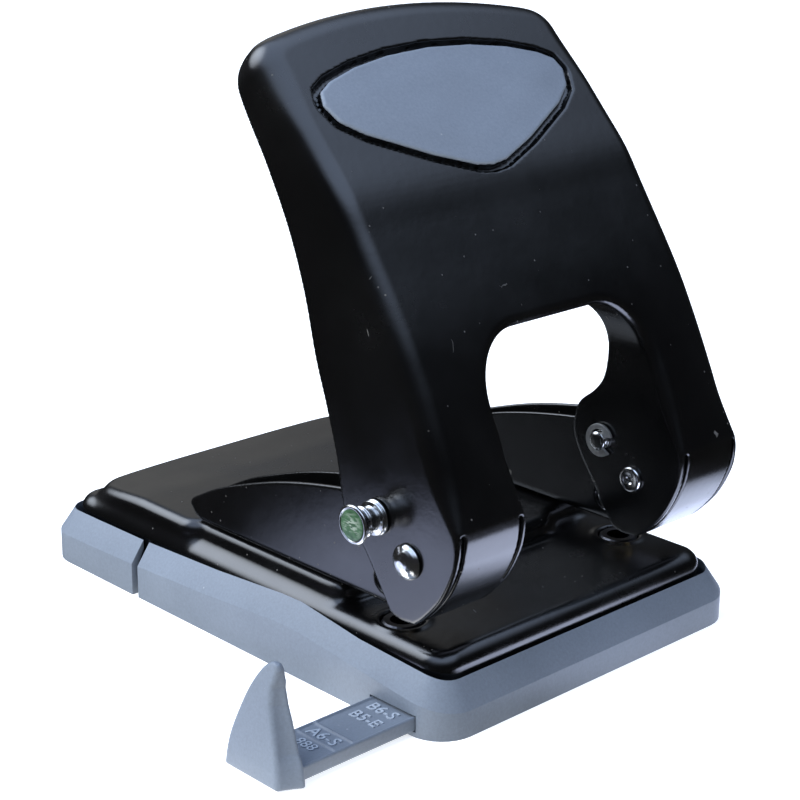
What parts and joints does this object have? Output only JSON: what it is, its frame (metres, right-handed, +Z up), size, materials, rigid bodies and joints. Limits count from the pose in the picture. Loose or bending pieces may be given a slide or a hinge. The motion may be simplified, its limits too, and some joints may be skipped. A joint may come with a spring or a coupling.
{
  "type": "hole punch",
  "caption": "Heavy desk hole punch for paper: raised lever handle on hinged arms, punch brackets over a flat table, grey chip tray that hinges open, sliding paper guide.",
  "frame": {"origin": "on the floor under the middle of the grey tray and rear clip, between the two arms", "axes": "+X towards the right arm, -Y towards the side where paper goes in, +Z up"},
  "size_m": [0.1503, 0.1585, 0.1584],
  "materials": {
    "black_paint": "satin-gloss black enamel on pressed steel, fine dust",
    "grey_plastic": "fine-grained blue-grey moulded plastic",
    "pad_plastic": "matt blue-grey moulded plastic",
    "chrome_pin": "bright nickel-chrome plate",
    "plain_steel": "plain zinc-plated steel",
    "die_steel": "blackened hard steel",
    "bush_brass": "plain brass",
    "green_enamel": "worn green enamel"
  },
  "bodies": {
    "base": {"base_plate": "black_paint", "bracket_left": "black_paint", "bracket_right": "black_paint", "bracket_rivet_left_front": "plain_steel", "bracket_rivet_left_rear": "plain_steel", "bracket_rivet_right_front": "plain_steel", "bracket_rivet_right_rear": "plain_steel", "die_bush_left": "die_steel", "die_bush_right": "die_steel", "punch_bush_left": "bush_brass", "punch_bush_right": "bush_brass", "rear_clip": "grey_plastic", "clip_screw_left": "plain_steel", "clip_screw_right": "plain_steel", "punch_spring_left": "plain_steel", "punch_spring_right": "plain_steel", "tray_pin_left": "plain_steel", "tray_pin_right": "plain_steel"},
    "handle": {"handle_shell": "black_paint", "grip_pad": "pad_plastic", "pivot_rivet_left": "chrome_pin", "pivot_rivet_right": "chrome_pin", "driver_pin_right": "chrome_pin", "e_ring_right": "plain_steel"},
    "lock": {"lock_pin": "chrome_pin", "lock_badge": "green_enamel", "e_ring_left": "plain_steel"},
    "punch_left": {"punch_pin_left": "plain_steel"},
    "punch_right": {"punch_pin_right": "plain_steel"},
    "tray": {"chip_tray": "grey_plastic", "guide_keeper_outer": "plain_steel", "guide_keeper_inner": "plain_steel", "guide_detent_spring": "plain_steel"},
    "guide": {"paper_guide": "grey_plastic"}
  },
  "joints": [
    {"name": "handle_hinge", "type": "hinge", "parent": "base", "child": "handle", "pos_m": [0, -0.0635, 0.041], "axis": [-1, 0, 0], "range_deg": [0, 45], "stiffness_Nm_per_rad": 0.3, "springref_deg": -40.11},
    {"name": "punch_left_slide", "type": "slide", "parent": "base", "child": "punch_left", "axis": [0, 0, -1], "range_m": [0, 0.0098], "deforming": ["punch_spring_left"]},
    {"name": "punch_right_slide", "type": "slide", "parent": "base", "child": "punch_right", "axis": [0, 0, -1], "range_m": [0, 0.0098], "deforming": ["punch_spring_right"]},
    {"name": "lock_slide", "type": "slide", "parent": "handle", "child": "lock", "axis": [-1, 0, 0], "range_m": [0, 0.003]},
    {"name": "tray_hinge", "type": "hinge", "parent": "base", "child": "tray", "pos_m": [0, 0.0377, 0.0026], "axis": [1, 0, 0], "range_deg": [0, 35]},
    {"name": "guide_slide", "type": "slide", "parent": "tray", "child": "guide", "axis": [-1, 0, 0], "range_m": [-0.0338, 0.04]}
  ],
  "couplings": [
    {"joint": "punch_left_slide", "follows": "handle_hinge", "m_per_rad": 0.01244},
    {"joint": "punch_right_slide", "follows": "handle_hinge", "m_per_rad": 0.01244}
  ]
}
